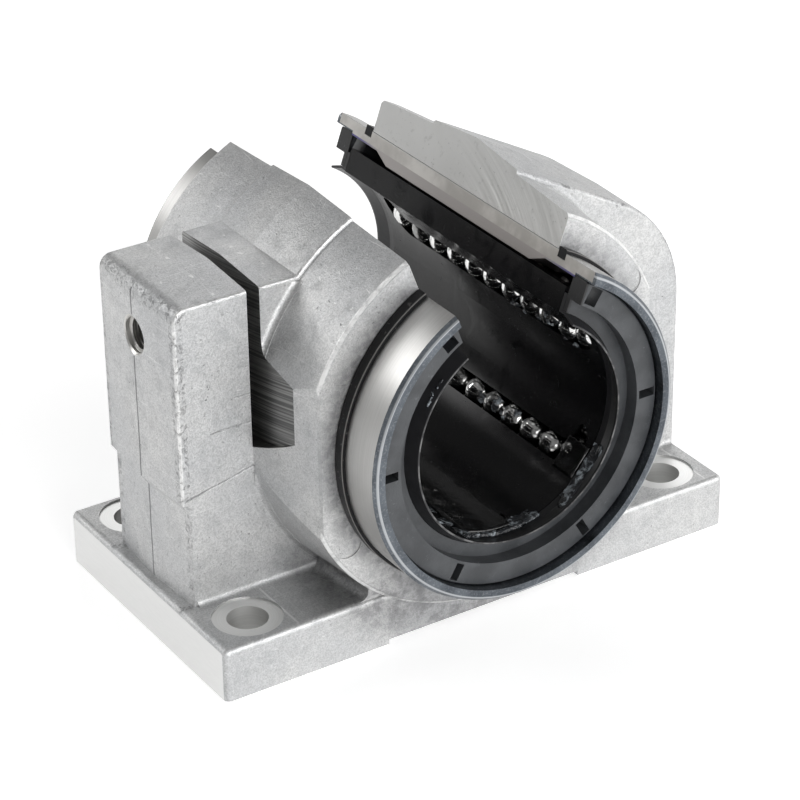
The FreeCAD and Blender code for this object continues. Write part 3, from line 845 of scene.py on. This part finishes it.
def grease_smear(name, angles, reach_y, material, thickness, bias, fine, seed, ragged):
    """Ragged film of grease on the cage's bore, between these angles and places along it."""
    points, heights = smear_face(angles, reach_y, thickness, bias, fine, seed, ragged)
    back = len(points)
    for x, y, z in points[:back]:
        turn = math.atan2(z - AXIS_Z, x)
        points.append((SMEAR_BACK_R * math.cos(turn), y, AXIS_Z + SMEAR_BACK_R * math.sin(turn)))

    # The film's face, its back inside the cage, and a wall round its edge.
    kept = greased_quads(heights)
    faces = []
    for quad in sorted(kept):
        corners = quad_corners(*quad)
        faces.append(corners)
        faces.append(tuple(back + corner for corner in reversed(corners)))
        for side, neighbour in enumerate(quad_neighbours(*quad)):
            if neighbour not in kept:
                first, second = corners[side], corners[(side + 1) % 4]
                faces.append((second, first, back + first, back + second))
    used = sorted({index for face in faces for index in face})
    place_of = {index: number for number, index in enumerate(used)}
    piece(name, [points[index] for index in used],
          [tuple(place_of[index] for index in face) for face in faces], material)


tapped_thread()
set_screw()
for name in sorted(nodes):
    if "_balls_" in name:
        round_balls(name)

dark = grease("grease_dark", DARK_GREASE, 0.06)
pale = grease("grease_pale", PALE_GREASE, 0.6)
# Each film's angles round the bore in degrees, reach along it, grease, thickness, bias,
# fineness per millimetre, seed and raggedness.
SMEARS = {
    "grease_low_row": ((-113, -86), (-41.5, 16), dark, 0.9, 1.4, 0.2, 0.0, 0.2),
    "grease_row_end": ((-48, -31), (-41.5, -34.5), dark, 0.6, 1.3, 0.15, 2.0, 0.1),
    "grease_low_left": ((-136, -98), (-41.5, -18), pale, 0.9, 0.05, 0.1, 3.0, 0.6),
    "grease_front_low": ((-118, -66), (-43.5, -38.5), pale, 0.6, 0.35, 0.2, 5.0, 0.6),
    "grease_front_right": ((-66, -18), (-46.7, -41.0), pale, 0.4, 0.3, 0.16, 7.0, 0.6),
    "grease_left_end": ((132, 152), (-47.2, -43.0), pale, 0.4, 0.1, 0.5, 13.0, 1.0),
    "grease_middle_row": ((-46, -34), (-30, 4), pale, 0.75, -0.16, 0.4, 9.0, 1.0),
    "grease_top_row": ((12, 28), (-40, 0), pale, 0.75, -0.2, 0.5, 11.0, 1.0),
}
for name, smear in SMEARS.items():
    grease_smear(name, *smear)

# ---- floor, light and camera ----
WORLD_LIGHT = 0.18
FLOOR_GLOW = 0.46
FLOOR_REACH = 6.0
FLOOR_DROP = 0.0002
WHITE = (1.0, 1.0, 1.0, 1.0)
LIT_POINT = (0.0, 0.0, 0.05)
# Each softbox's position, size and power in watts.
LIGHTS = {
    "softbox_top": ((0.1, 0.1, 1.4), (1.1, 1.1), 0.9),
    "softbox_front": ((-0.1, -1.5, 0.45), (1.2, 0.7), 17.0),
    "softbox_front_right": ((1.1, -1.1, 0.45), (0.9, 0.8), 8.5),
    "softbox_rear_right": ((0.8, 1.1, 0.8), (0.9, 0.7), 4.6),
    "softbox_rear_left": ((-1.0, 1.0, 0.8), (0.9, 0.7), 8.0),
    "softbox_right": ((1.4, 0.2, 0.5), (0.9, 0.7), 4.0),
}
LENS = 140.4
LENS_SHIFT = (-0.0069, -0.0020)
CLIP = (0.01, 50.0)
CAMERA_PLACE = (-0.32194, -0.50919, 0.36950)
CAMERA_ANGLES = (61.081, 0.669, -32.834)

floor_mesh = bpy.data.meshes.new("floor")
corners = [(side * FLOOR_REACH, end * FLOOR_REACH, 0)
           for side, end in ((-1, -1), (1, -1), (1, 1), (-1, 1))]
floor_mesh.from_pydata(corners, [], [(0, 1, 2, 3)])
floor = bpy.data.objects.new("floor", floor_mesh)
floor_finish = Finish("floor_white")
floor_finish.set(Base_Color=(0.93, 0.93, 0.93, 1.0), Roughness=0.7, Emission_Color=WHITE,
                 Emission_Strength=FLOOR_GLOW)
floor_mesh.materials.append(floor_finish.material)
bpy.context.scene.collection.objects.link(floor)
floor.location.z = -FLOOR_DROP

world = bpy.data.worlds.new("studio")
bpy.context.scene.world = world
world.use_nodes = True
backdrop = world.node_tree.nodes["Background"]
backdrop.inputs["Color"].default_value = WHITE
backdrop.inputs["Strength"].default_value = WORLD_LIGHT


def softbox(name, position, size, power):
    """A rectangular lamp that faces the part."""
    lamp = bpy.data.lights.new(name, "AREA")
    lamp.shape = "RECTANGLE"
    lamp.size, lamp.size_y = size
    lamp.energy = power
    made = bpy.data.objects.new(name, lamp)
    made.location = position
    facing = Vector(LIT_POINT) - Vector(position)
    made.rotation_euler = facing.to_track_quat("-Z", "Y").to_euler()
    bpy.context.scene.collection.objects.link(made)


for name, (position, size, power) in LIGHTS.items():
    softbox(name, position, size, power)

camera_data = bpy.data.cameras.new("camera")
camera_data.lens = LENS
camera_data.shift_x, camera_data.shift_y = LENS_SHIFT
camera_data.clip_start, camera_data.clip_end = CLIP
camera = bpy.data.objects.new("camera", camera_data)
camera.location = CAMERA_PLACE
camera.rotation_euler = Euler([math.radians(angle) for angle in CAMERA_ANGLES])
bpy.context.scene.collection.objects.link(camera)
bpy.context.scene.camera = camera
bpy.context.scene.view_settings.view_transform = "Standard"
